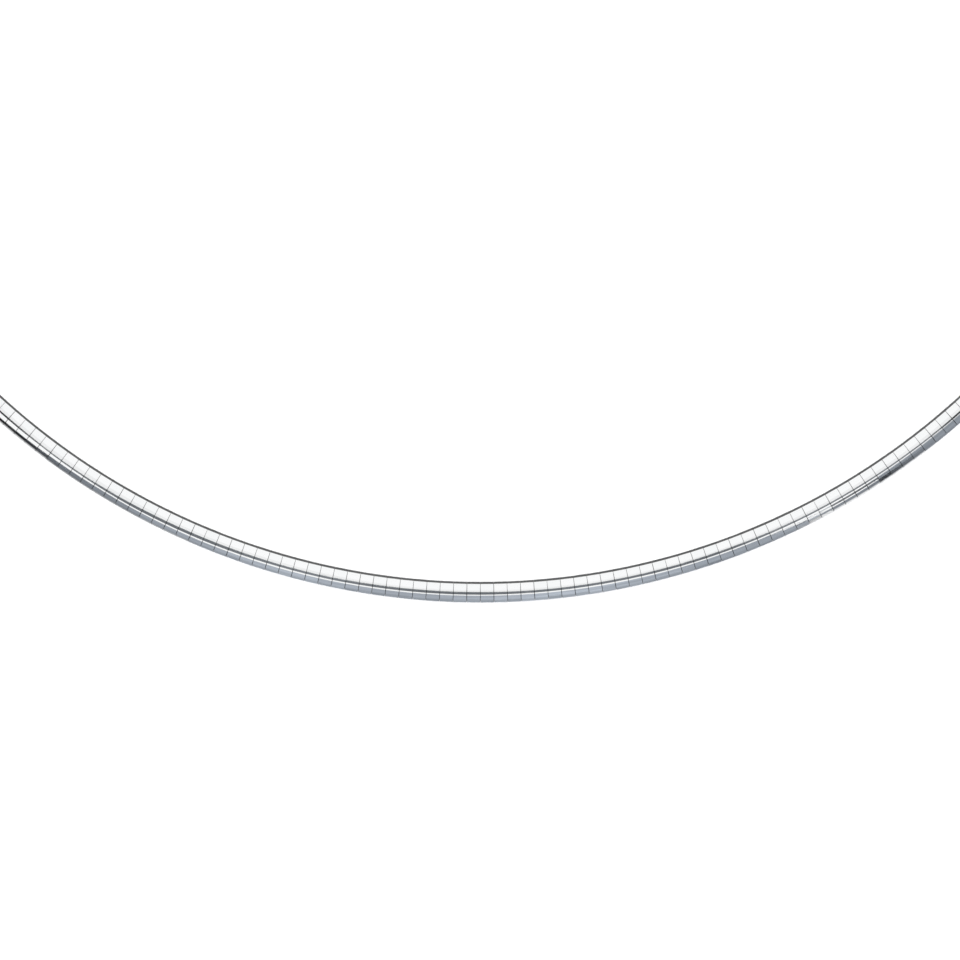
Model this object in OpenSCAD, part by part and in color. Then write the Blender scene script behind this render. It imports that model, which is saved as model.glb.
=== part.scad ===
// Omega neck chain lying on a flat surface, dome up, with its clasp at the back.
// The loop's centre is on the Z axis, and its underside is at z = 0.
// The front of the loop is at -Y and the clasp at +Y.

/* [Loop] */
// Length round the middle of the band, clasp included
neck_length = 432; // [406:1:457]
// Width of the band, measured towards the loop's centre
band_w = 1.98; // [1.8:0.02:2.2]
// Height of the band from its lips to its crest
band_h = 1.16; // [1.1:0.02:1.3]

/* [Plates] */
// Aimed length of one plate along the band
plate_pitch = 1.29; // [1.25:0.01:1.5]
// Width of the seam between one plate and the next
seam_w = 0.09; // [0.06:0.01:0.12]
// Thickness of the sheet that a plate is formed from
sheet_t = 0.26; // [0.22:0.02:0.28]
// Radius of the domed top across the band
dome_r = 1.36; // [1.3:0.02:1.6]
// Radius of the fold at the lower edges, as thick as the lips
fold_r = 0.22; // [0.16:0.01:0.25]
// Open width between the two lips on the underside
lip_gap = 1.1; // [1:0.02:1.16]
// Height of the folded base that stays whole under the seams
base_h = 0.3; // [0.28:0.01:0.36]

/* [Woven core] */
// Width of the woven core
core_w = 1.16; // [1:0.02:1.16]
// Height of the woven core, which is a flat band with its upper corners sloped off
core_h = 0.4; // [0.36:0.01:0.4]
// Space between the core and the metal round it
core_clear = 0.1; // [0.08:0.01:0.12]

/* [End caps] */
// Length of an end cap along the band
cap_l = 5.2; // [4:0.1:7]
// Length of core that each cap holds
cap_hold = 3.2; // [2:0.1:3.5]
// How far the caps and the clasp stand proud of the band
proud = 0.1; // [0:0.02:0.14]
// Space between neighbouring pieces along the band
piece_gap = 0.1; // [0.08:0.01:0.15]

/* [Clasp] */
// Length of the clasp along the band
clasp_l = 9.4; // [8:0.1:12]
// Length of the thumb tab on top of the clasp
tab_l = 2.4; // [1.8:0.1:3]
// Width of the thumb tab
tab_w = 1; // [0.8:0.05:1.2]
// Height of the thumb tab above the clasp's crest
tab_h = 0.3; // [0.2:0.05:0.5]
// Distance of the thumb tab's middle from the clasp's right end
tab_in = 2.2; // [2:0.1:4]

/* [Hidden] */

// Spare length of a cut past the face that it opens
past = 1;
loop_fn = 240;
section_fn = 64;

ring_r = neck_length / (2 * PI);
side_x = band_w / 2;
dome_z = band_h - dome_r;
lip_t = fold_r;
core_z = lip_t + core_clear;

function degrees_of(length) = length / ring_r * 180 / PI;

// Turns about the loop's axis, from the back of the loop to where each piece starts
clasp_half = degrees_of(clasp_l / 2);
cap_near = clasp_half + degrees_of(piece_gap);
cap_far = cap_near + degrees_of(cap_l);
core_near = cap_far - degrees_of(cap_hold);
plates_near = cap_far + degrees_of(piece_gap);

// An even number of plates, so that a seam lies at the front
plates_turn = 360 - 2 * plates_near;
plate_count = 2 * round(plates_turn / degrees_of(plate_pitch) / 2);
plate_turn = plates_turn / plate_count;

// Its children's section, turned from a start that is measured from the back
module turned(start, turn) {
    rotate([0, 0, 90 + start])
        rotate_extrude(angle = turn, $fn = loop_fn)
            translate([ring_r, 0])
                children();
}

// What lies under the round of the dome and above a low edge
module domed(half_w, low, radius) {
    intersection() {
        translate([0, dome_z])
            circle(r = radius, $fn = section_fn);
        translate([-half_w, low])
            square([2 * half_w, band_h]);
    }
}

module outer_section(extra = 0) {
    half_w = side_x + extra;
    domed(half_w, fold_r, dome_r + extra);
    translate([fold_r - half_w, 0])
        square([2 * (half_w - fold_r), fold_r]);
    for (side = [-1, 1])
        translate([side * (half_w - fold_r), fold_r])
            circle(r = fold_r, $fn = section_fn);
}

module plate_section() {
    difference() {
        outer_section();
        domed(side_x - sheet_t, lip_t, dome_r - sheet_t);
        translate([-lip_gap / 2, -past])
            square([lip_gap, past + core_z]);
    }
}

// A flat band whose upper corners lie on a round that is clear of the dome's hollow
module core_section(extra = 0) {
    round_r = dome_r - sheet_t - core_clear + extra;
    half_w = core_w / 2 + extra;
    top_z = core_z + core_h + extra;
    side_z = dome_z + sqrt(pow(round_r, 2) - pow(half_w, 2));
    flat_half = sqrt(pow(round_r, 2) - pow(top_z - dome_z, 2));
    right = [[half_w, core_z - extra], [half_w, side_z], [flat_half, top_z]];
    left = [for (i = [len(right) - 1 : -1 : 0]) [-right[i].x, right[i].y]];
    polygon(concat(right, left));
}

// A cut across the band, whose two faces point at the loop's centre
module seam_cut(at) {
    half_turn = degrees_of(seam_w / 2);
    turned(at - half_turn, 2 * half_turn)
        translate([-band_w, base_h])
            square([2 * band_w, band_h]);
}

module plates() {
    color("gainsboro")
        difference() {
            turned(plates_near, plates_turn)
                plate_section();
            for (i = [1 : plate_count - 1])
                seam_cut(plates_near + i * plate_turn);
        }
}

module mesh_core() {
    color("darkgray")
        turned(core_near, 360 - 2 * core_near)
            core_section();
}

module end_cap() {
    difference() {
        turned(cap_near, cap_far - cap_near)
            outer_section(proud);
        turned(core_near - degrees_of(core_clear), degrees_of(cap_hold + core_clear + past))
            core_section(core_clear);
    }
}

module end_cap_left() {
    color("silver")
        end_cap();
}

module end_cap_right() {
    color("silver")
        mirror([1, 0, 0])
            end_cap();
}

module thumb_tab() {
    foot_z = band_h / 2;
    end_x = (tab_l - tab_w) / 2;
    translate([clasp_l / 2 - tab_in, ring_r, foot_z])
        linear_extrude(band_h + proud + tab_h - foot_z) {
            square([2 * end_x, tab_w], center = true);
            for (side = [-1, 1])
                translate([side * end_x, 0])
                    circle(d = tab_w, $fn = section_fn);
        }
}

module clasp() {
    color("silver") {
        turned(-clasp_half, 2 * clasp_half)
            outer_section(proud);
        thumb_tab();
    }
}

plates();
mesh_core();
end_cap_left();
end_cap_right();
clasp();
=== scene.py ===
"""An omega neck chain lying flat: domed plates crimped side by side over a woven wire core."""

import math

import bpy
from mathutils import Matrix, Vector


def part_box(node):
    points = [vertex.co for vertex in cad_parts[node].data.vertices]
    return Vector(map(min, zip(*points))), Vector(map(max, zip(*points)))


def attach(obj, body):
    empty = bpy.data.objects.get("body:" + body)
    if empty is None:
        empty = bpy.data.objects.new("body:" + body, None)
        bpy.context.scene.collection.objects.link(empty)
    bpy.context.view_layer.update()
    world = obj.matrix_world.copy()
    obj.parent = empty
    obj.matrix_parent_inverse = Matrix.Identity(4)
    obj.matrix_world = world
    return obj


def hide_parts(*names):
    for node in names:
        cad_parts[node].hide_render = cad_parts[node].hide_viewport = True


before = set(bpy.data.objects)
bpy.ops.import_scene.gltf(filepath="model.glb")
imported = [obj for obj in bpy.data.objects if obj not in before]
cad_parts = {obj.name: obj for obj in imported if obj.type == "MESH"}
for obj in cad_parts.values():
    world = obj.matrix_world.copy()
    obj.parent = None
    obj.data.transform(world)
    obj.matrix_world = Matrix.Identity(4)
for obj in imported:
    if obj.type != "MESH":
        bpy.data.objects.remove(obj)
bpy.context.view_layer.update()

MM = 0.001

# The band, as the part's source has it
BAND_W = 1.98 * MM
BAND_H = 1.16 * MM
SHEET = 0.26 * MM
DOME_R = 1.36 * MM
FOLD_R = 0.22 * MM
LIP_GAP = 1.1 * MM
PLATE_PITCH = 1.29 * MM
CORE_CLEAR = 0.1 * MM
CORE_W = 1.16 * MM
CORE_H = 0.4 * MM
CAP_L = 5.2 * MM
CAP_HOLD = 3.2 * MM
CLASP_L = 9.4 * MM
TAB_L = 2.4 * MM
TAB_W = 1.0 * MM
TAB_H = 0.3 * MM
TAB_IN = 2.2 * MM
PIECE_GAP = 0.1 * MM
PROUD = 0.1 * MM
SIDE_X = BAND_W / 2
DOME_Z = BAND_H - DOME_R
CORE_Z = FOLD_R + CORE_CLEAR

# The loop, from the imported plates
plates_low, plates_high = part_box("plates")
LOOP_R = (plates_high.x - plates_low.x) / 2 - SIDE_X

# One plate's form, whose ends are lightly bevelled, and how far it may lean and shift
PLATE_L = 1.254 * MM
PLATE_BEVEL = 0.009 * MM
PLATE_SHIFT = 0.005 * MM
LEAN_ALONG = math.radians(0.08)
LEAN_ACROSS = math.radians(0.4)
LEAN_ROOM = 0.0085 * MM
DOME_STEPS = 10
INNER_STEPS = 4

# The bevels and the steps of the plain pieces at the back
END_BEVEL = 0.09 * MM
MOUTH_BEVEL = 0.04 * MM
ARC_STEP = 0.65 * MM
SMOOTH_STEPS = 16
TAB_BEVEL = 0.08 * MM
TAB_BEVEL_START = 0.3
TAB_FOOT_Z = 1.0 * MM

# A ray this near to parallel misses an edge, and one this little past an edge's end still meets it
PARALLEL = 1e-12
PAST_END = 1e-6

# The braid: ribbons of fine wires that run both ways round a flattened tube
RIBBONS_EACH_WAY = 4
BRAID_LAY = 5.0 * MM
RIBBON_W = 0.37 * MM
RIBBON_T = 0.085 * MM
BRAID_ROOM = 0.107 * MM
BRAID_SQUEEZE = 0.95
EDGE_TURN = 3.0
STEPS_PER_CROSSING = 2


def turn_of(length):
    return length / LOOP_R


# Turns about the loop's axis, from its back to where each piece starts
CLASP_HALF = turn_of(CLASP_L / 2)
CAP_NEAR = CLASP_HALF + turn_of(PIECE_GAP)
CAP_FAR = CAP_NEAR + turn_of(CAP_L)
PLATES_NEAR = CAP_FAR + turn_of(PIECE_GAP)
CORE_NEAR = CAP_FAR - turn_of(CAP_HOLD)
BACK = math.pi / 2
PLATES_TURN = 2 * (math.pi - PLATES_NEAR)
PLATE_COUNT = 2 * round(PLATES_TURN / turn_of(PLATE_PITCH) / 2)
PLATE_TURN = PLATES_TURN / PLATE_COUNT

# The picture: the loop's middle lies above it, and the front arc crosses it
FRAME_PX = 960
LOOP_R_PX = 721.1
LOOP_MIDDLE_PX = (480.35, -128.9)
CAMERA_H = 0.55
SENSOR_MM = 36.0

# What the camera sees starts and ends this far from it
NEAREST = 0.01
FURTHEST = 50


class Tree:
    """A node tree with short ways to add, set and join its nodes."""

    def __init__(self, tree):
        self.tree = tree

    def add(self, kind, inputs=None, **settings):
        node = self.tree.nodes.new(kind)
        for key, value in settings.items():
            setattr(node, key, value)
        for key, value in (inputs or {}).items():
            self.put(node.inputs[key], value)
        return node

    def put(self, socket, value):
        if isinstance(value, bpy.types.NodeSocket):
            self.tree.links.new(value, socket)
        else:
            socket.default_value = value

    def math(self, operation, a, b=0.0, c=0.0):
        node = self.add("ShaderNodeMath", {0: a, 1: b, 2: c}, operation=operation)
        return node.outputs[0]

    def vector(self, operation, a, b, output=0):
        node = self.add("ShaderNodeVectorMath", {0: a, 1: b}, operation=operation)
        return node.outputs[output]

    def xyz(self, x=0.0, y=0.0, z=0.0):
        return self.add("ShaderNodeCombineXYZ", {0: x, 1: y, 2: z}).outputs[0]

    def ease(self, value, start, end, low=0.0, high=1.0):
        """A smooth step from low at start to high at end."""
        node = self.add("ShaderNodeMapRange", interpolation_type="SMOOTHSTEP")
        given = {"Value": value, "From Min": start, "From Max": end, "To Min": low, "To Max": high}
        for name, setting in given.items():
            self.put(node.inputs[name], setting)
        return node.outputs[0]

    def run(self, value, spots):
        """Goes straight from spot to spot, each a place and a level, and holds at both ends."""
        first, last = spots[0][0], spots[-1][0]
        top = max(level for _, level in spots)
        share = self.math("DIVIDE", self.math("SUBTRACT", value, first), last - first)
        node = self.add("ShaderNodeFloatCurve", {"Value": share})
        curve = node.mapping.curves[0]
        placed = [((place - first) / (last - first), level / top) for place, level in spots]
        curve.points[0].location, curve.points[1].location = placed[0], placed[-1]
        for spot in placed[1:-1]:
            curve.points.new(*spot)
        for point in curve.points:
            point.handle_type = "VECTOR"
        node.mapping.update()
        return self.math("MULTIPLY", node.outputs[0], top)


class ShapeTree(Tree):
    """A Geometry Nodes tree with named inputs, whose result becomes a plain mesh."""

    def __init__(self, name, inputs):
        super().__init__(bpy.data.node_groups.new(name, "GeometryNodeTree"))
        face = self.tree.interface
        face.new_socket("Geometry", in_out="INPUT", socket_type="NodeSocketGeometry")
        face.new_socket("Geometry", in_out="OUTPUT", socket_type="NodeSocketGeometry")
        self.values = {}
        for label, (kind, value) in inputs.items():
            socket = face.new_socket(label, in_out="INPUT", socket_type="NodeSocket" + kind)
            self.values[socket.identifier] = value
        self.inputs = self.add("NodeGroupInput").outputs

    def random(self, low, high, seed):
        node = self.add("FunctionNodeRandomValue", data_type="FLOAT")
        self.put(node.inputs[2], low)
        self.put(node.inputs[3], high)
        self.put(node.inputs["Seed"], seed)
        return node.outputs[1]

    def stored(self, geometry, name, value, domain, kind="FLOAT"):
        node = self.add(
            "GeometryNodeStoreNamedAttribute",
            {"Geometry": geometry, "Name": name, "Value": value},
            data_type=kind,
            domain=domain,
        )
        return node.outputs[0]

    def painted(self, geometry, material, where=True):
        node = self.add(
            "GeometryNodeSetMaterial",
            {"Geometry": geometry, "Selection": where, "Material": material},
        )
        return node.outputs[0]

    def end(self, geometry):
        self.add("NodeGroupOutput", {0: geometry})

    def plain_mesh(self, name, start):
        """Runs the tree on a start mesh and gives the result as a piece with a mesh of its own."""
        piece = new_object(name, start)
        modifier = piece.modifiers.new("shape", "NODES")
        modifier.node_group = self.tree
        for identifier, value in self.values.items():
            modifier[identifier] = value
        made = piece.evaluated_get(bpy.context.evaluated_depsgraph_get())
        mesh = bpy.data.meshes.new_from_object(made)
        piece.modifiers.remove(modifier)
        piece.data = mesh
        mesh.name = name
        return piece


def new_object(name, data):
    piece = bpy.data.objects.new(name, data)
    bpy.context.scene.collection.objects.link(piece)
    return piece


def ready(piece, node):
    """Says that the piece takes a node's place: puts it under the root and hides the node."""
    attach(piece, "root")
    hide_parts(node)


def smooth_mesh(name, points, faces, sharp_from=30):
    """A mesh of smooth faces, whose edges are sharp where the faces turn by more than an angle."""
    mesh = bpy.data.meshes.new(name)
    mesh.from_pydata([tuple(p) for p in points], [], faces)
    mesh.validate()
    mesh.set_sharp_from_angle(angle=math.radians(sharp_from))
    return mesh


def section_arc(radius, half_w, steps):
    """Points over a dome of that radius, from its inner side to its outer side."""
    edge = math.asin(half_w / radius)
    turns = [edge * (2 * i / steps - 1) for i in range(steps + 1)]
    return [(radius * math.sin(a), DOME_Z + radius * math.cos(a)) for a in turns]


def outer_outline(grow, steps):
    """The D-shaped outside of the band, from the inner foot over the dome to the outer foot."""
    half_w = SIDE_X + grow
    low = max(-grow, 0)
    knee = FOLD_R * (1 - math.sqrt(0.5))
    side = [(half_w, FOLD_R), (half_w - knee, low + knee), (half_w - FOLD_R, low)]
    return [(-x, z) for x, z in reversed(side)] + section_arc(DOME_R + grow, half_w, steps) + side


def plate_outline(grow):
    """The C-shaped section of a plate, and how many of its points are on the outside."""
    outside = outer_outline(grow - LEAN_ROOM, DOME_STEPS)
    low = outside[0][1]
    hollow = section_arc(DOME_R - SHEET, SIDE_X - SHEET, INNER_STEPS)
    lip = [(LIP_GAP / 2, low), (LIP_GAP / 2, FOLD_R), (SIDE_X - SHEET, FOLD_R)]
    inside = lip + hollow[::-1] + [(-x, z) for x, z in reversed(lip)]
    return outside + inside, len(outside)


def plate_mesh(material):
    """One straight plate: x is outward and y along the band. Its bevels and cut faces are marked for a dark
    metal, which is painted shade in the seams between plates.
    """
    half = PLATE_L / 2
    rings = ((-half, -PLATE_BEVEL), (PLATE_BEVEL - half, 0), (half - PLATE_BEVEL, 0), (half, -PLATE_BEVEL))
    points = []
    for y, grow in rings:
        outline, outside = plate_outline(grow)
        points += [(x, y, z) for x, z in outline]
    count, top = len(outline), len(rings) - 1

    def at(ring, i):
        return ring * count + i % count

    def strip(i, first, last):
        return at(first, i), at(first, i + 1), at(last, i + 1), at(last, i)

    # The outside runs from the inner lip's corner, the outline's last point, to the outer lip's
    around = range(-1, outside)
    faces = [strip(i, 1, 2) for i in around]
    shown = len(faces)
    faces += [strip(i, r, r + 1) for r in (0, 2) for i in around]
    faces += [strip(i, 0, top) for i in range(outside + 1, count - 2)]
    middle = range(1, top)
    faces.append((*strip(outside, 0, top), *(at(r, outside) for r in reversed(middle))))
    a, b, c, d = strip(count - 2, 0, top)
    faces.append((a, b, *(at(r, count - 1) for r in middle), c, d))
    faces.append(tuple(at(top, i) for i in range(count)))
    faces.append(tuple(at(0, i) for i in reversed(range(count))))
    mesh = smooth_mesh("one_plate", points, faces)
    # The marked faces get the dark metal: painted shade that makes the seams between plates read dark.
    cut_shade = mesh.attributes.new("seam_shade_face", "BOOLEAN", "FACE")
    cut_shade.data.foreach_set("value", [i >= shown for i in range(len(faces))])
    mesh.materials.append(material)
    return mesh


def make_plates(polished, cut_shade):
    """The straight plates, set round the loop with a slight lean of each plate's own."""
    tree = ShapeTree(
        "plates_round_loop",
        {
            "Plate count": ("Int", PLATE_COUNT),
            "Loop radius": ("Float", LOOP_R),
            "First turn": ("Float", BACK + PLATES_NEAR + PLATE_TURN / 2),
            "Turn per plate": ("Float", PLATE_TURN),
            "Lean along": ("Float", LEAN_ALONG),
            "Lean across": ("Float", LEAN_ACROSS),
            "Shift": ("Float", turn_of(PLATE_SHIFT)),
            "Seed": ("Int", 4),
            "Polished": ("Material", polished),
            "Seam shade": ("Material", cut_shade),
        },
    )
    given = tree.inputs
    index = tree.add("GeometryNodeInputIndex").outputs[0]
    turn = tree.math("MULTIPLY_ADD", index, given["Turn per plate"], given["First turn"])
    back = tree.math("MULTIPLY", given["Shift"], -1.0)
    shift = tree.random(back, given["Shift"], tree.math("ADD", given["Seed"], 3.0))
    turn = tree.math("ADD", turn, shift)
    x = tree.math("MULTIPLY", tree.math("COSINE", turn), given["Loop radius"])
    y = tree.math("MULTIPLY", tree.math("SINE", turn), given["Loop radius"])
    spots = tree.add("GeometryNodePoints", {"Count": given["Plate count"], "Position": tree.xyz(x, y)})
    pitch = tree.random(-1.0, 1.0, given["Seed"])
    pitch = tree.math("MULTIPLY", pitch, given["Lean along"])
    roll = tree.random(-1.0, 1.0, tree.math("ADD", given["Seed"], 1.0))
    roll = tree.math("MULTIPLY", roll, given["Lean across"])
    row = tree.add(
        "GeometryNodeInstanceOnPoints",
        {"Points": spots.outputs[0], "Instance": given["Geometry"], "Rotation": tree.xyz(pitch, roll, turn)},
    ).outputs[0]
    finish = tree.random(0.0, 1.0, tree.math("ADD", given["Seed"], 2.0))
    row = tree.stored(row, "plate_finish", finish, "INSTANCE")
    real = tree.add("GeometryNodeRealizeInstances", {0: row}).outputs[0]
    # The bevels and cut faces get the dark metal, which is painted shade in the seams.
    inside = tree.add("GeometryNodeInputNamedAttribute", {"Name": "seam_shade_face"}, data_type="BOOLEAN")
    tree.end(tree.painted(tree.painted(real, given["Polished"]), given["Seam shade"], inside.outputs[0]))
    ready(tree.plain_mesh("chain_plates", plate_mesh(polished)), "plates")


def braid_paths(tree):
    """The ribbons' paths round a flattened tube, each dipping under every second one that it meets."""
    given, math_ = tree.inputs, tree.math
    line = tree.add("GeometryNodeCurvePrimitiveLine", {"End": (0.0, 1.0, 0.0)}).outputs[0]
    line = tree.add("GeometryNodeResampleCurve", {"Curve": line, "Count": given["Steps"]}).outputs[0]
    copies = tree.add(
        "GeometryNodeDuplicateElements", {"Geometry": line, "Amount": given["Ribbons"]}, domain="SPLINE"
    )
    number = copies.outputs["Duplicate Index"]
    along = tree.add("GeometryNodeSplineParameter").outputs["Factor"]
    way = math_("MULTIPLY_ADD", math_("MODULO", number, 2.0), 2.0, -1.0)
    lane = math_("FLOOR", math_("DIVIDE", number, 2.0))
    passed = math_("MULTIPLY", along, given["Crossings"])
    lap = 2 * math.pi / RIBBONS_EACH_WAY
    around = math_("MULTIPLY_ADD", math_("MULTIPLY", passed, way), lap / 2, math_("MULTIPLY", lane, lap))
    ripple = math_("COSINE", math_("MULTIPLY", passed, math.pi))
    dip = math_("MULTIPLY", math_("MULTIPLY", ripple, way), given["Dip"])

    # The tube is wide and flat: its ribbons cross evenly and turn quickly at the edges
    across = math_("ARCSINE", math_("MULTIPLY", math_("COSINE", around), BRAID_SQUEEZE))
    across = math_("DIVIDE", across, math.asin(BRAID_SQUEEZE))
    above = math_("SINE", math_("MULTIPLY", math_("SINE", around), math.pi / 2))
    out = math_("MULTIPLY", across, math_("ADD", given["Half width"], dip))
    up = math_("MULTIPLY", above, math_("ADD", given["Half height"], dip))
    turn = math_("MULTIPLY_ADD", along, given["Whole turn"], given["First turn"])
    radius = math_("ADD", given["Loop radius"], out)
    x = math_("MULTIPLY", math_("COSINE", turn), radius)
    y = math_("MULTIPLY", math_("SINE", turn), radius)
    z = math_("ADD", given["Middle height"], up)
    placed = tree.add(
        "GeometryNodeSetPosition", {"Geometry": copies.outputs["Geometry"], "Position": tree.xyz(x, y, z)}
    ).outputs[0]
    upright = tree.add("GeometryNodeSetCurveNormal", {"Curve": placed}, mode="Z_UP").outputs[0]
    facing = math_("ARCTAN2", math_("POWER", math_("ABSOLUTE", across), EDGE_TURN), above)
    tilt = math_("MULTIPLY", facing, math_("SIGN", across))
    return tree.add("GeometryNodeSetCurveTilt", {"Curve": upright, "Tilt": tilt}).outputs[0]


def ribbon_profile(tree):
    """A lens-shaped section, with the place across itself kept for the wires that its surface shows."""
    width = tree.inputs["Ribbon width"]
    half_t = tree.math("MULTIPLY", tree.inputs["Ribbon thickness"], 0.5)
    shape = tree.add(
        "GeometryNodeCurvePrimitiveQuadrilateral",
        {"Width": width, "Bottom Height": half_t, "Top Height": half_t},
        mode="KITE",
    ).outputs[0]
    place = tree.add("ShaderNodeSeparateXYZ", {0: tree.add("GeometryNodeInputPosition").outputs[0]})
    share = tree.math("DIVIDE", place.outputs[0], width)
    return tree.stored(shape, "wire_across", share, "POINT")


def make_core(woven):
    """The braid of flat ribbons, half of which spiral round each way."""
    length = 2 * (math.pi - CORE_NEAR) * LOOP_R
    crossings = round(length / BRAID_LAY * 2 * RIBBONS_EACH_WAY)
    tree = ShapeTree(
        "braid_round_loop",
        {
            "Ribbons": ("Int", 2 * RIBBONS_EACH_WAY),
            "Steps": ("Int", crossings * STEPS_PER_CROSSING + 1),
            "Loop radius": ("Float", LOOP_R),
            "First turn": ("Float", BACK + CORE_NEAR),
            "Whole turn": ("Float", 2 * (math.pi - CORE_NEAR)),
            "Crossings": ("Float", crossings),
            "Half width": ("Float", CORE_W / 2 - BRAID_ROOM),
            "Half height": ("Float", CORE_H / 2 - BRAID_ROOM),
            "Middle height": ("Float", CORE_Z + CORE_H / 2),
            "Dip": ("Float", RIBBON_T / 2),
            "Ribbon width": ("Float", RIBBON_W),
            "Ribbon thickness": ("Float", RIBBON_T),
            "Woven": ("Material", woven),
        },
    )
    ribbons = tree.add(
        "GeometryNodeCurveToMesh",
        {"Curve": braid_paths(tree), "Profile Curve": ribbon_profile(tree), "Fill Caps": True},
    ).outputs[0]
    smooth = tree.add("GeometryNodeSetShadeSmooth", {"Geometry": ribbons}).outputs[0]
    real = tree.add("GeometryNodeRealizeInstances", {0: smooth}).outputs[0]
    tree.end(tree.painted(real, tree.inputs["Woven"]))
    start = bpy.data.meshes.new("core_start")
    ready(tree.plain_mesh("woven_core", start), "mesh_core")


def ring_at(turn, outline):
    """A section's points, set at a turn about the loop's axis."""
    c, s = math.cos(turn), math.sin(turn)
    return [((LOOP_R + x) * c, (LOOP_R + x) * s, z) for x, z in outline]


def skin(rings):
    """The points and faces of a closed skin over rings of points that follow each other."""
    count = len(rings[0])
    points = [p for ring in rings for p in ring]
    faces = [tuple(reversed(range(count)))]
    for r in range(len(rings) - 1):
        a, b = r * count, (r + 1) * count
        faces += [(a + i, a + (i + 1) % count, b + (i + 1) % count, b + i) for i in range(count)]
    faces.append(tuple(range(len(points) - count, len(points))))
    return points, faces


def band_rings(near, far, outline_of):
    """Rings from a bevelled near end to a bevelled far end, stepped evenly between them."""
    bevel = turn_of(END_BEVEL)
    steps = math.ceil((far - near) / turn_of(ARC_STEP))
    inner = [near + bevel + (far - near - 2 * bevel) * i / steps for i in range(steps + 1)]
    rings = [ring_at(near, outline_of(-END_BEVEL))]
    rings += [ring_at(turn, outline_of(0)) for turn in inner]
    return rings + [ring_at(far, outline_of(-END_BEVEL))]


def pocket_outline(outline, widen):
    """The core's outline, grown by its clearance, with a point towards each point of another outline."""
    round_r = DOME_R - SHEET + widen
    half_w = CORE_W / 2 + CORE_CLEAR + widen
    low, high = CORE_Z - CORE_CLEAR - widen, CORE_Z + CORE_H + CORE_CLEAR + widen
    side_z = DOME_Z + math.sqrt(round_r**2 - half_w**2)
    flat = math.sqrt(round_r**2 - (high - DOME_Z) ** 2)
    right = [(half_w, low), (half_w, side_z), (flat, high)]
    corners = right + [(-x, z) for x, z in reversed(right)]
    middle = Vector((0, (low + high) / 2))
    found = []
    for x, z in outline:
        ray = (Vector((x, z)) - middle).normalized()
        best = None
        for i, corner in enumerate(corners):
            a, b = Vector(corner) - middle, Vector(corners[i - 1]) - middle
            cross = ray.x * (b.y - a.y) - ray.y * (b.x - a.x)
            if abs(cross) < PARALLEL:
                continue
            reach = (a.x * (b.y - a.y) - a.y * (b.x - a.x)) / cross
            share = (a.x * ray.y - a.y * ray.x) / cross
            if reach > 0 and -PAST_END <= share <= 1 + PAST_END:
                best = reach if best is None else min(best, reach)
        spot = middle + ray * best
        found.append((spot.x, spot.y))
    return found


def make_end_cap(name, node, mirrored, material):
    """A D-shaped cap whose far end has the pocket that the core sits in."""

    def outline(grow):
        return outer_outline(PROUD + grow, SMOOTH_STEPS)

    rings = band_rings(CAP_NEAR, CAP_FAR, outline)
    mouth = outline(-END_BEVEL)
    pocket = pocket_outline(mouth, 0)
    bottom = CAP_FAR - turn_of(CAP_HOLD + CORE_CLEAR)
    rings += [
        ring_at(CAP_FAR, pocket_outline(mouth, MOUTH_BEVEL)),
        ring_at(CAP_FAR - turn_of(MOUTH_BEVEL), pocket),
        ring_at(bottom, pocket),
    ]
    points, faces = skin(rings)

    # The rings were measured from the loop's right, so they turn to its back
    side = -1 if mirrored else 1
    points = [(side * -y, x, z) for x, y, z in points]
    if mirrored:
        faces = [tuple(reversed(face)) for face in faces]
    mesh = smooth_mesh(name, points, faces)
    mesh.materials.append(material)
    ready(new_object(name, mesh), node)


def make_clasp(material):
    """A plain bevelled box clasp with its thumb tab."""

    def outline(grow):
        return outer_outline(PROUD + grow, SMOOTH_STEPS)

    points, faces = skin(band_rings(BACK - CLASP_HALF, BACK + CLASP_HALF, outline))
    top = BAND_H + PROUD + TAB_H
    start = TAB_BEVEL * TAB_BEVEL_START
    levels = ((TAB_FOOT_Z, 0), (top - TAB_BEVEL, 0), (top - start, start), (top, TAB_BEVEL))
    rings = []
    for z, inset in levels:
        ring = []
        for end in (1, -1):
            for i in range(SMOOTH_STEPS + 1):
                a = math.pi * i / SMOOTH_STEPS - math.pi / 2
                x = end * ((TAB_L - TAB_W) / 2 + (TAB_W / 2 - inset) * math.cos(a))
                y = end * (TAB_W / 2 - inset) * math.sin(a)
                ring.append((CLASP_L / 2 - TAB_IN + x, LOOP_R + y, z))
        rings.append(ring)
    more, more_faces = skin(rings)
    faces += [tuple(i + len(points) for i in face) for face in more_faces]
    mesh = smooth_mesh("box_clasp", points + more, faces)
    mesh.materials.append(material)
    ready(new_object("box_clasp", mesh), "clasp")


# How the duller patches and plates differ in red, green and blue
DARKER_TINT = (0.95, 0.965, 0.965)

# The grain of the cloudy polish and of the scratches, per metre, and the scratches' two angles
CLOUD_GRAIN = 900.0
SCRATCH_GRAIN = (900, 30000, 900)
SCRATCHES = ((0.6, 0.0), (-1.1, 7.0))
SCRATCH_FROM = 0.64
SCRATCH_FULL = 0.72
FINISH_DEPTH = 1.5e-7

# The cloud's levels that are fully clear and fully dull, and the roughness of each as a share
CLEAR, DULL = 0.3, 0.7
CLEAR_SHARE, DULL_SHARE = 0.75, 1.35

# How much of a plate's finish is its own
OWN_TONE = 0.7
OWN_ROUGH = 0.5

# The fine wires of one ribbon, the colour of the painted shade in the grooves between them, and how high up
# a wire that painted shade ends
WIRES = 5
WIRE_DEPTH = 2.5e-5
GROOVE_SHADE_TONE = (0.16, 0.16, 0.165, 1)
GROOVE_SHADE_END = 0.55


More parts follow.
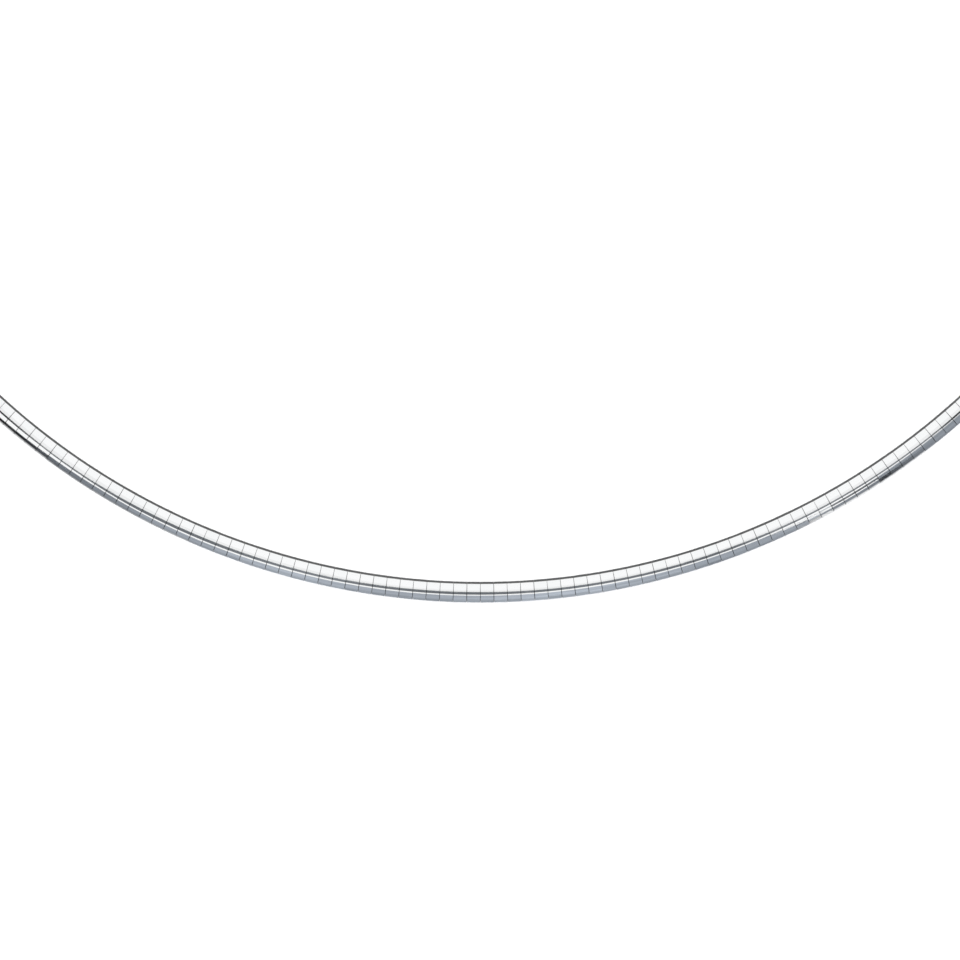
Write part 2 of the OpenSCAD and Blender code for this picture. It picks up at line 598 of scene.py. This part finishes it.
def metal(name, colour, roughness, marks=0.1, own_finish=None):
    """A metal with a cloudy polish and fine scratches both ways. Marks is how dull a scratch is."""
    material = bpy.data.materials.new(name)
    material.use_nodes = True
    tree = Tree(material.node_tree)
    shader = material.node_tree.nodes["Principled BSDF"]
    shader.inputs["Metallic"].default_value = 1.0
    place = tree.add("ShaderNodeTexCoord").outputs["Object"]
    cloud = tree.add("ShaderNodeTexNoise", {"Vector": place, "Scale": CLOUD_GRAIN, "Detail": 4.0}).outputs[0]
    lines = 0.0
    for angle, shift in SCRATCHES:
        turned = {"Location": (shift, 0, 0), "Rotation": (0, 0, angle), "Scale": SCRATCH_GRAIN}
        laid = tree.add("ShaderNodeMapping", {"Vector": place, **turned}).outputs[0]
        grain = tree.add("ShaderNodeTexNoise", {"Vector": laid, "Scale": 1.0, "Detail": 1.0}).outputs[0]
        lines = tree.math("ADD", lines, tree.ease(grain, SCRATCH_FROM, SCRATCH_FULL))
    rough = tree.ease(cloud, CLEAR, DULL, roughness * CLEAR_SHARE, roughness * DULL_SHARE)
    if own_finish:
        own = tree.add("ShaderNodeAttribute", attribute_name=own_finish).outputs["Fac"]
        rough = tree.math("MULTIPLY", rough, tree.math("MULTIPLY_ADD", own, OWN_ROUGH, 1 - OWN_ROUGH / 2))
        cloud = tree.math("MULTIPLY_ADD", own, OWN_TONE, tree.math("MULTIPLY", cloud, 1 - OWN_TONE))
    tree.put(shader.inputs["Roughness"], tree.math("MULTIPLY_ADD", lines, marks, rough))
    darker = (*(c * t for c, t in zip(colour, DARKER_TINT)), 1)
    tone = tree.add("ShaderNodeMix", {0: cloud, 6: darker, 7: (*colour, 1)}, data_type="RGBA")
    tree.put(shader.inputs["Base Color"], tone.outputs[2])
    height = tree.math("SUBTRACT", cloud, lines)
    bump = tree.add("ShaderNodeBump", {"Strength": 1.0, "Distance": FINISH_DEPTH, "Height": height})
    tree.put(shader.inputs["Normal"], bump.outputs[0])
    return material


def woven_metal():
    """Satin wire: each ribbon shows a few parallel wires, with shade painted dark into the grooves between
    them.
    """
    material = metal("wire_satin", colour=(0.78, 0.78, 0.79), roughness=0.34)
    tree = Tree(material.node_tree)
    shader = material.node_tree.nodes["Principled BSDF"]
    across = tree.add("ShaderNodeAttribute", attribute_name="wire_across").outputs["Fac"]
    wave = tree.math("ABSOLUTE", tree.math("SINE", tree.math("MULTIPLY", across, WIRES * math.pi)))
    tone = shader.inputs["Base Color"].links[0].from_socket
    # Painted shade: the grooves between the wires are coloured dark.
    crest = tree.ease(wave, 0.0, GROOVE_SHADE_END)
    groove_shade = tree.add("ShaderNodeMix", {0: crest, 6: GROOVE_SHADE_TONE, 7: tone}, data_type="RGBA")
    tree.put(shader.inputs["Base Color"], groove_shade.outputs[2])
    bump = tree.add("ShaderNodeBump", {"Strength": 0.6, "Distance": WIRE_DEPTH, "Height": wave})
    tree.put(shader.inputs["Normal"], bump.outputs[0])
    return material


# The paper floor: half its side, its grain per metre and its two tones
FLOOR_HALF = 6.0
FLOOR_GRAIN = 700.0
FLOOR_TONES = ((0.88, 0.88, 0.885, 1), (0.92, 0.92, 0.92, 1))


def make_floor():
    """Plain pale paper, which isn't part of the object."""
    mesh = bpy.data.meshes.new("floor")
    corners = [(x * FLOOR_HALF, y * FLOOR_HALF, 0) for x, y in ((-1, -1), (1, -1), (1, 1), (-1, 1))]
    mesh.from_pydata(corners, [], [(0, 1, 2, 3)])
    floor = new_object("floor", mesh)
    material = bpy.data.materials.new("pale_paper")
    material.use_nodes = True
    tree = Tree(material.node_tree)
    shader = material.node_tree.nodes["Principled BSDF"]
    place = tree.add("ShaderNodeTexCoord").outputs["Object"]
    fibre = tree.add("ShaderNodeTexNoise", {"Vector": place, "Scale": FLOOR_GRAIN, "Detail": 3.0}).outputs[0]
    tone = tree.add("ShaderNodeMix", {0: fibre, 6: FLOOR_TONES[0], 7: FLOOR_TONES[1]}, data_type="RGBA")
    tree.put(shader.inputs["Base Color"], tone.outputs[2])
    shader.inputs["Roughness"].default_value = 0.9
    shader.inputs["Specular IOR Level"].default_value = 0.0
    mesh.materials.append(material)


# The surroundings that the metal mirrors, in degrees. Because of where the camera is, each place
# on the band mirrors a spot on a ray of its own that leaves a point a little behind overhead.
# A ray's bearing turns from the front towards the right, and a spot's spread is measured along it
DEGREES = 180 / math.pi
RAYS_BEHIND = 6.03
SPREAD_FROM = 7.15
WHITE = (1.0, 1.0, 1.0)
COOL = (0.908, 0.99, 1.11)

# The spread that the white in front reaches, by bearing
WHITE_REACH = (
    (-60, 60), (-42, 54), (-39, 50), (-38, 46), (-36, 43), (-32, 37.5), (-29, 41), (-20, 38.5),
    (-12, 34.5), (-8, 32.5), (0, 28), (4, 29), (16, 28.3), (20, 26.8), (24.7, 27), (25, 39), (25.9, 40),
    (26.2, 42), (27, 43), (27.3, 50), (28.2, 50), (28.5, 53.5), (33.7, 53.5), (34, 31), (60, 31),
)

# How bright the grey below the white is, by bearing
GREY_LEVEL = (
    (-60, 0.01), (-40, 0.02), (-38.5, 0.05), (-37.5, 0.09), (-36, 0.19), (-32, 0.26), (-28, 0.345),
    (-22, 0.42), (-16, 0.51), (-12, 0.48), (-8, 0.42), (-4, 0.42), (0, 0.47), (5, 0.54), (9, 0.52),
    (12, 0.48), (20, 0.38), (27, 0.38), (27.3, 0.5), (28.2, 0.5), (28.5, 0.265), (33.7, 0.265),
    (34, 0.03), (34.6, 0.04), (35.2, 0.09), (36, 0.13), (38, 0.23), (40, 0.33), (45, 0.34), (55, 0.05),
)

# The dark line overhead: bearing, its middle and its half width as spreads, and its brightness
DARK_LINE = (
    (-60, 15, 7, 0.04), (-38.7, 14.6, 7.4, 0.04), (-38.4, 14.6, 2.7, 0.11), (-36, 17.6, 5, 0.14),
    (-33, 20.4, 6.4, 0.15), (-29, 20.1, 11.2, 0.16), (-26, 17.7, 11.9, 0.16), (-20, 15.6, 11.7, 0.17),
    (-16, 14.9, 9.2, 0.21), (-12, 15.2, 8.9, 0.23), (-8, 10.8, 11, 0.165), (0, 9.5, 11.3, 0.16),
    (4, 9.7, 9.5, 0.19), (12, 8.2, 9.3, 0.2), (17, 8.2, 10.5, 0.155), (20, 8, 10.3, 0.155),
    (24, 9.2, 7.1, 0.2), (28, 12.3, 5.8, 0.2), (32, 13, 6, 0.2), (36, 12.4, 5.8, 0.21),
    (39.5, 14.6, 4.3, 0.24), (39.8, 15, 7.4, 0.02), (60, 15, 7.4, 0.02),
)

# The line's tint, how soft its sides are, and the bearing to either side that it ends at
LINE_TINT = (0.93, 1.0, 1.08)
LINE_SOFT = 0.8
LINE_END = 85
LINE_END_SOFT = 20

# Bands all round or behind: azimuth from and to, angle down from overhead from and to,
# brightness and softness
BANDS = (
    (-180, 180, -1, 14, 0.9, 3),
    (90, 270, 10, 95, 1.0, 6),
    (84, 126, 34, 72, 0.42, 10),
    (234, 276, 34, 72, 0.42, 10),
    (90, 270, 68.3, 95, 0.125, 2),
)

# Small panels in front: bearing from and to, spread from and to, brightness and softness
PANELS = (
    (26.2, 27.2, 44, 54, 0.16, 4),
    (28.4, 29.3, 29, 39, 0.45, 4),
    (29.3, 33.9, 30, 44.5, 0.09, 1.5),
    (33.9, 75, 26.5, 48, 0.29, 13),
)

# How soft the panels' left and right edges are
PANEL_EDGE = 0.2

# The white that shows again low down at the sides, in the same terms as the panels
RIMS = (
    (-75, -37.4, 78, 110, 0.85, 14),
    (-37.4, -24, 80, 110, 0.5, 12),
    (27.3, 28.4, 60, 110, 0.45, 6),
    (28.4, 29.3, 69, 110, 0.9, 8),
    (29.3, 33.9, 77.5, 110, 0.9, 10),
    (33.9, 39, 80, 110, 0.9, 10),
)

# The grey is a cloth of uneven brightness: by how much, and how finely by bearing and spread
CLOTH_UNEVEN = 1.2
CLOTH_GRAIN = (0.9, 0.05)

# How the grey fades low down and near the white: spreads, then brightness at each
FADE_LOW = (58.0, 76.0, 1.0, 0.78)
FADE_HIGH = (38.0, 50.0, 0.93, 1.0)

# Where the white ends, before and past its reach
WHITE_EDGE = (-1.0, 1.2)

# The lamp that lights the floor
LAMP_POWER = 3.0
LAMP_SPREAD = math.radians(50)


class Sky(Tree):
    """The world's node tree, which knows the direction that it is seen in by several angles."""

    def __init__(self, tree):
        super().__init__(tree)
        towards = self.add("ShaderNodeTexCoord").outputs["Generated"]
        right, behind, up = self.add("ShaderNodeSeparateXYZ", {0: towards}).outputs
        front = self.math("MULTIPLY", behind, -1.0)
        self.above = self.math("GREATER_THAN", up, 0.0)
        self.down = self.math("MULTIPLY", self.math("ARCCOSINE", up), DEGREES)
        azimuth = self.angle_of(right, front)
        past_left = self.math("LESS_THAN", azimuth, -90.0)
        self.azimuth = self.math("ADD", azimuth, self.math("MULTIPLY", past_left, 360.0))

        # The direction laid out flat, round the point that the rays leave
        level_way = self.vector("NORMALIZE", self.xyz(right, front), (0, 0, 0))
        flat = self.vector("ADD", self.scaled(level_way, self.down), (0, RAYS_BEHIND, 0))
        across, ahead, _ = self.add("ShaderNodeSeparateXYZ", {0: flat}).outputs
        self.bearing = self.angle_of(across, ahead)
        length = self.vector("LENGTH", flat, (0, 0, 0), "Value")
        self.spread = self.math("SUBTRACT", length, SPREAD_FROM)

    def angle_of(self, across, ahead):
        return self.math("MULTIPLY", self.math("ARCTAN2", across, ahead), DEGREES)

    def scaled(self, vector, share):
        return self.add("ShaderNodeVectorMath", {0: vector, "Scale": share}, operation="SCALE").outputs[0]

    def over(self, below, mask, above):
        return self.add("ShaderNodeMix", {0: mask, 6: below, 7: above}, data_type="RGBA").outputs[2]

    def between(self, value, low, high, soft):
        """One from low to high and nothing outside, with both edges soft."""
        rise = self.ease(value, low - soft / 2, low + soft / 2)
        return self.math("MULTIPLY", rise, self.ease(value, high + soft / 2, high - soft / 2))


def toned(tint, level):
    return (*(level * part for part in tint), 1)


def front_light(sky):
    """The white in front, and the grey below it, which is uneven and darker low down."""
    low_fade = sky.ease(sky.spread, *FADE_LOW)
    fade = sky.math("MULTIPLY", low_fade, sky.ease(sky.spread, *FADE_HIGH))
    laid = sky.vector("MULTIPLY", sky.xyz(sky.bearing, sky.spread), (*CLOTH_GRAIN, 0))
    cloth = sky.add("ShaderNodeTexNoise", {"Vector": laid, "Scale": 1.0, "Detail": 2.0}).outputs[0]
    uneven = sky.math("MULTIPLY_ADD", cloth, CLOTH_UNEVEN, 1 - CLOTH_UNEVEN / 2)
    fade = sky.math("MULTIPLY", fade, uneven)
    grey = sky.scaled(COOL, sky.math("MULTIPLY", sky.run(sky.bearing, GREY_LEVEL), fade))
    past = sky.math("SUBTRACT", sky.spread, sky.run(sky.bearing, WHITE_REACH))
    return sky.over(toned(WHITE, 1), sky.ease(past, *WHITE_EDGE), grey)


def with_panels(sky, light):
    """The panels in front, the white low down at the sides, and the bands, laid over the light."""
    for tint, rows in ((COOL, PANELS), (WHITE, RIMS)):
        for left, right, near, far, level, soft in rows:
            width = sky.between(sky.bearing, left, right, PANEL_EDGE)
            mask = sky.math("MULTIPLY", width, sky.between(sky.spread, near, far, soft))
            light = sky.over(light, mask, toned(tint, level))
    for left, right, high, low, level, soft in BANDS:
        upper = sky.ease(sky.down, high, high + soft)
        mask = sky.math("MULTIPLY", upper, sky.ease(sky.down, low + soft, low))
        if right - left < 360:
            mask = sky.math("MULTIPLY", mask, sky.between(sky.azimuth, left, right, soft))
        light = sky.over(light, mask, toned(WHITE, level))
    return light


def with_dark_line(sky, light):
    """The dark line overhead, which ends at the sides, laid over the light."""
    places = [row[0] for row in DARK_LINE]
    middle, half, level = (
        sky.run(sky.bearing, list(zip(places, (row[column] for row in DARK_LINE)))) for column in (1, 2, 3)
    )
    off = sky.math("SUBTRACT", sky.math("ABSOLUTE", sky.math("SUBTRACT", sky.spread, middle)), half)
    mask = sky.math("MULTIPLY", sky.ease(off, LINE_SOFT, -LINE_SOFT), sky.above)
    mask = sky.math("MULTIPLY", mask, sky.between(sky.bearing, -LINE_END, LINE_END, LINE_END_SOFT))
    return sky.over(light, mask, sky.scaled(LINE_TINT, level))


def make_studio():
    """A light tent as the world's background, with its panels and its dark line overhead."""
    scene = bpy.context.scene
    scene.world = bpy.data.worlds.new("studio")
    scene.world.use_nodes = True
    background = scene.world.node_tree.nodes["Background"]
    sky = Sky(scene.world.node_tree)
    light = with_panels(sky, front_light(sky))
    sky.put(background.inputs["Color"], with_dark_line(sky, light))
    scene.view_settings.view_transform = "Standard"


def make_lamp():
    """Lights the floor from above and isn't mirrored in the metal."""
    lamp = bpy.data.lights.new("floor_light", "SUN")
    lamp.energy = LAMP_POWER
    lamp.angle = LAMP_SPREAD
    holder = new_object("floor_light", lamp)
    holder.location = (0, 0, 1)
    holder.visible_glossy = False


def make_camera():
    """Looks straight down from above the middle of the picture, with the front arc at its real place."""
    scale = LOOP_R / LOOP_R_PX
    middle_px = FRAME_PX / 2
    x = (middle_px - LOOP_MIDDLE_PX[0]) * scale
    y = -(middle_px - LOOP_MIDDLE_PX[1]) * scale
    data = bpy.data.cameras.new("camera")
    data.sensor_width = SENSOR_MM
    data.lens = SENSOR_MM * CAMERA_H / (FRAME_PX * scale)
    data.clip_start = NEAREST
    data.clip_end = FURTHEST
    camera = new_object("camera", data)
    camera.location = (x, y, BAND_H + CAMERA_H)
    bpy.context.scene.camera = camera


make_camera()
make_floor()
make_studio()
make_lamp()
clasp_metal = metal("clasp_metal", colour=(0.94, 0.945, 0.955), roughness=0.09)
plate_metal = metal(
    "plate_polished", colour=(0.965, 0.968, 0.973), roughness=0.055, marks=0.08, own_finish="plate_finish"
)
# A dark metal for the plates' bevels and cut faces: painted shade that darkens the seams between plates.
seam_shade_metal = metal("plate_cut_painted_shade", colour=(0.16, 0.16, 0.165), roughness=0.35)
make_plates(plate_metal, seam_shade_metal)
make_core(woven_metal())
make_end_cap("cap_left", "end_cap_left", False, clasp_metal)
make_end_cap("cap_right", "end_cap_right", True, clasp_metal)
make_clasp(clasp_metal)
